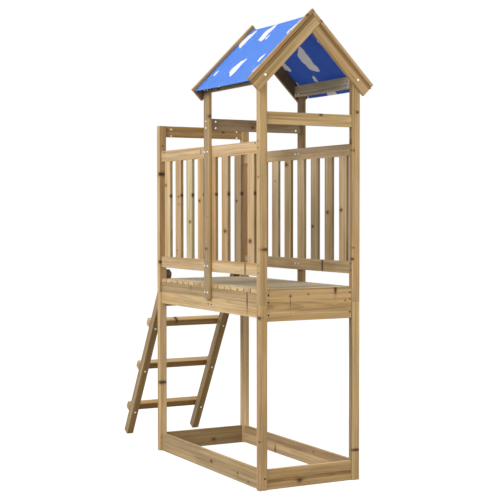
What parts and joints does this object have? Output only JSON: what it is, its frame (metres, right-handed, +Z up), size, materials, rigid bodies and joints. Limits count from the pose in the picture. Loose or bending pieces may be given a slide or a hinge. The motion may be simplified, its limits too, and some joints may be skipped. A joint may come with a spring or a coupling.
{
  "type": "play tower",
  "caption": "Narrow wooden play tower with a slatted deck, side railings, a cloth gable roof over the front half and a leaning ladder at the back.",
  "frame": {"origin": "on the floor, in the middle of the whole footprint, ladder and eaves included", "axes": "+Z up, +Y from the roofed front towards the ladder, +X across the tower to its right side as seen from the front"},
  "size_m": [0.649, 1.6718, 2.14],
  "materials": {
    "pine": "satin",
    "roof_cloth": "matte"
  },
  "bodies": {
    "root": {"post_front_left_lower": "pine", "post_front_left_upper": "pine", "post_front_right_lower": "pine", "post_front_right_upper": "pine", "post_back_left_lower": "pine", "post_back_left_upper": "pine", "post_back_right_lower": "pine", "post_back_right_upper": "pine", "mid_post_left": "pine", "mid_post_right": "pine", "base_board_left": "pine", "base_board_right": "pine", "base_board_front": "pine", "base_board_back": "pine", "skirt_board_left": "pine", "skirt_board_right": "pine", "skirt_board_front": "pine", "skirt_board_back": "pine", "deck": "pine", "railing_left": "pine", "railing_right": "pine", "crossbar_front": "pine", "crossbar_middle": "pine", "crossbar_back": "pine", "roof_board_left": "pine", "roof_board_right": "pine", "rafter_front_left": "pine", "rafter_front_right": "pine", "rafter_rear_left": "pine", "rafter_rear_right": "pine", "roof_cap_front_left": "pine", "roof_cap_front_right": "pine", "roof_cap_rear_left": "pine", "roof_cap_rear_right": "pine", "ladder_stile_left": "pine", "ladder_stile_right": "pine", "ladder_rung_1": "pine", "ladder_rung_2": "pine", "ladder_rung_3": "pine", "roof_cloth_left": "roof_cloth", "roof_cloth_right": "roof_cloth"}
  },
  "joints": []
}
